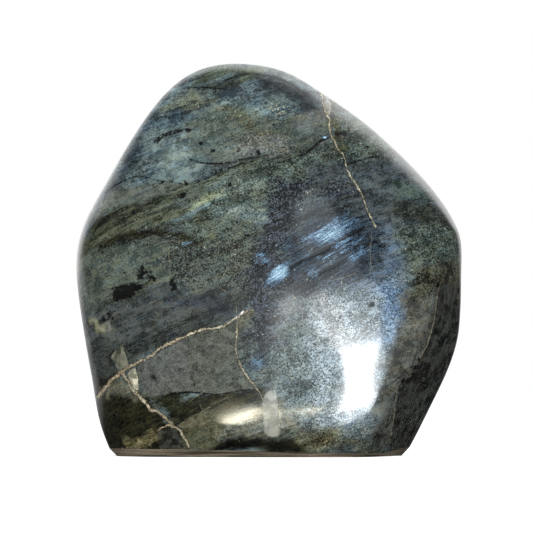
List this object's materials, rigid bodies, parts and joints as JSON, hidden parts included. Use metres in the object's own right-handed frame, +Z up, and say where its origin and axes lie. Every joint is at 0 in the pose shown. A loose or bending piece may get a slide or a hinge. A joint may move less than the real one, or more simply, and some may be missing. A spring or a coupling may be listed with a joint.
{
  "type": "polished labradorite freeform",
  "caption": "Hand-polished labradorite freeform: a rounded, domed dark stone with blue flash and rusty seams that stands upright on a flat sawn base.",
  "frame": {"origin": "centre of the stone's bounding box in X and Y, on the plane of the sawn base", "axes": "+Z up from the base; -Y is the domed display face; +X is to the right when looking at that face"},
  "size_m": [0.1082, 0.047, 0.1101],
  "materials": {
    "polished_labradorite": "high hand polish, glossy, slightly wavy, with hairline scratches"
  },
  "bodies": {
    "root": {"labradorite_stone": "polished_labradorite"}
  },
  "joints": []
}
